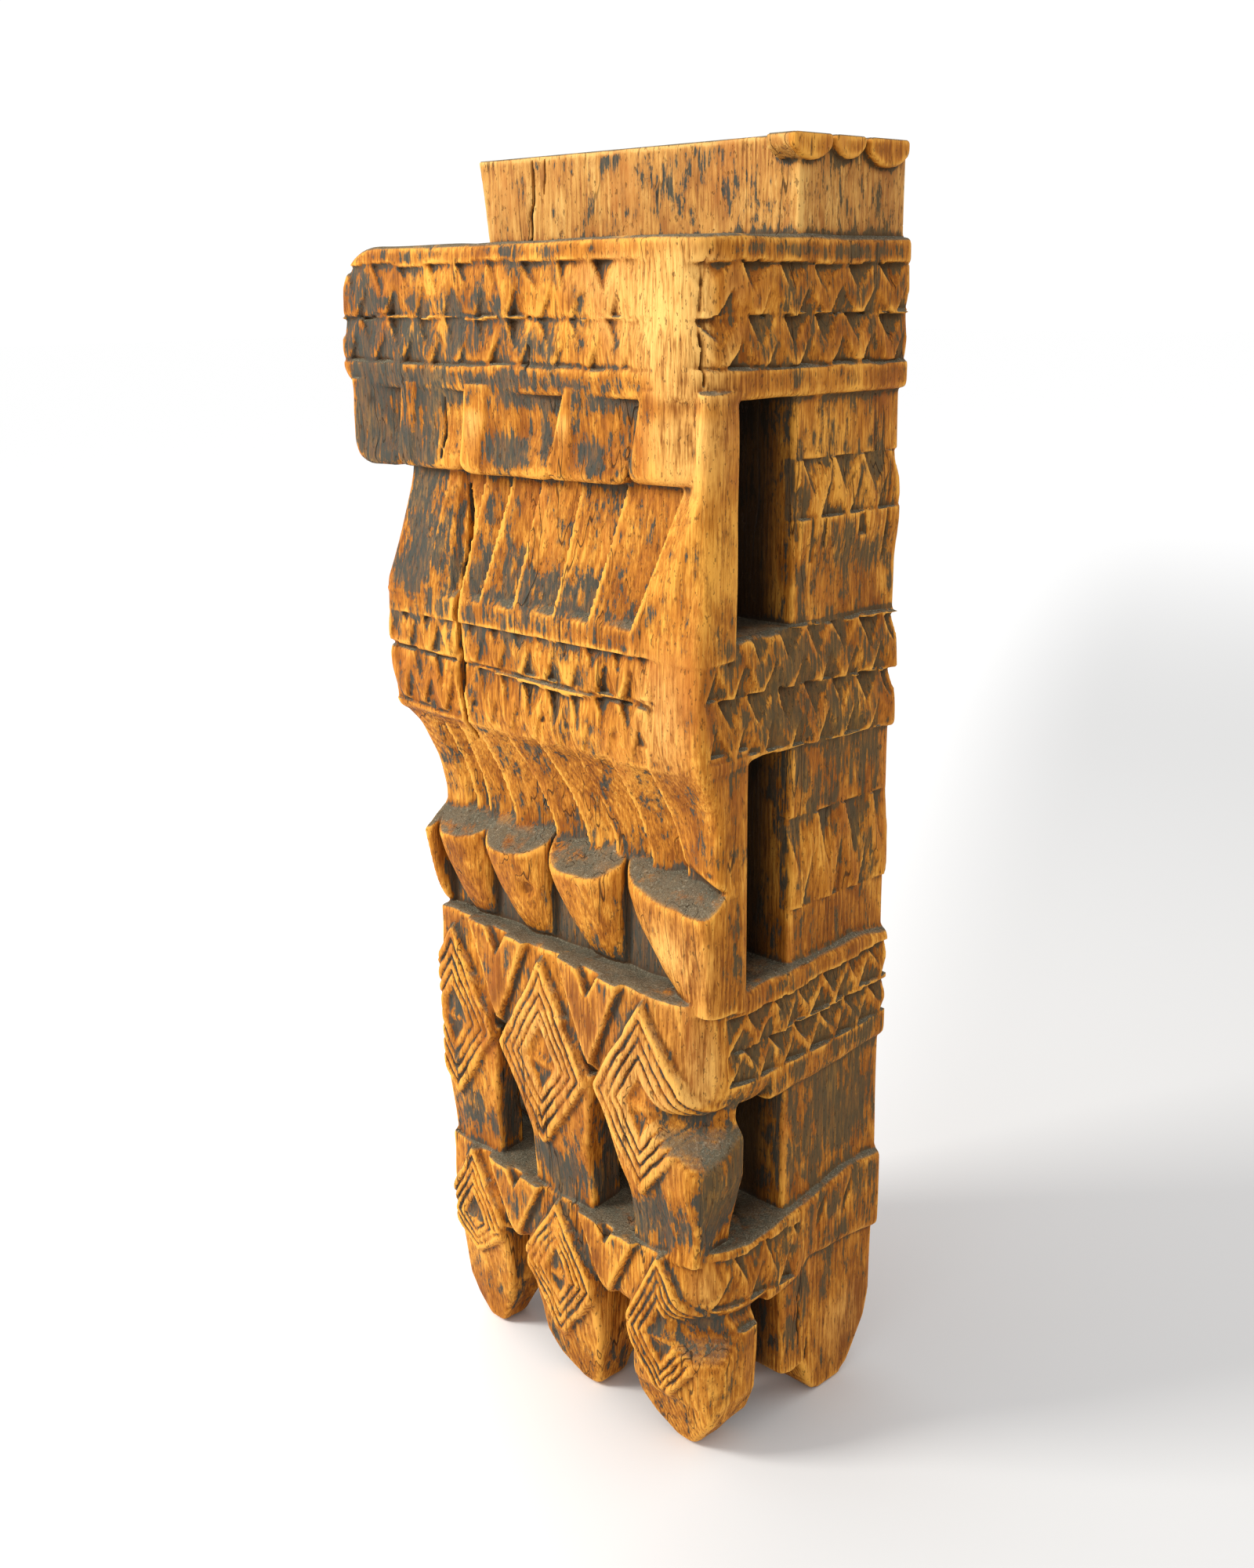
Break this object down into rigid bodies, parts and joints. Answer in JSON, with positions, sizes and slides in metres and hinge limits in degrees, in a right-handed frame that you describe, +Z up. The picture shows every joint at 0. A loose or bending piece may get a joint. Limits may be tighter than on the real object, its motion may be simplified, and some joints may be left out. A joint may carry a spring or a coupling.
{
  "type": "carved timber bracket",
  "caption": "Upright carved softwood bracket: plain post, overhanging chevron crown with hanging tabs, fluted front panel held off the post by slots, and tiers of lozenge pendants.",
  "frame": {"origin": "middle of the bracket's bounding box, at floor level, under the pendant tips and the foot", "axes": "+Z up along the grain, -Y towards the carved front, +X towards the carved right side"},
  "size_m": [0.392, 0.23, 1],
  "materials": {
    "carved_softwood": "bare, hand rubbed on the high carving, dark patina and dust in the recesses",
    "pale_softwood": "bare, straight grained, dry"
  },
  "bodies": {
    "root": {"shaft": "pale_softwood", "top_teeth": "carved_softwood", "crown": "carved_softwood", "tab_1": "carved_softwood", "tab_2": "carved_softwood", "tab_3": "carved_softwood", "tab_4": "carved_softwood", "tab_5": "carved_softwood", "post": "carved_softwood", "upper_panel": "carved_softwood", "upper_flutes": "carved_softwood", "mid_band": "carved_softwood", "mid_band_side": "carved_softwood", "upper_side_relief": "carved_softwood", "lower_side_relief": "carved_softwood", "lower_panel": "carved_softwood", "lower_flutes": "carved_softwood", "cup_1": "carved_softwood", "cup_2": "carved_softwood", "cup_3": "carved_softwood", "cup_4": "carved_softwood", "cup_5": "carved_softwood", "upper_lozenge_band": "carved_softwood", "upper_vees": "carved_softwood", "upper_band_side": "carved_softwood", "upper_pendant_1": "carved_softwood", "upper_pendant_2": "carved_softwood", "upper_pendant_3": "carved_softwood", "lower_lozenge_band": "carved_softwood", "lower_vees": "carved_softwood", "lower_band_side": "carved_softwood", "lower_pendant_1": "carved_softwood", "lower_pendant_2": "carved_softwood", "lower_pendant_3": "carved_softwood"}
  },
  "joints": []
}
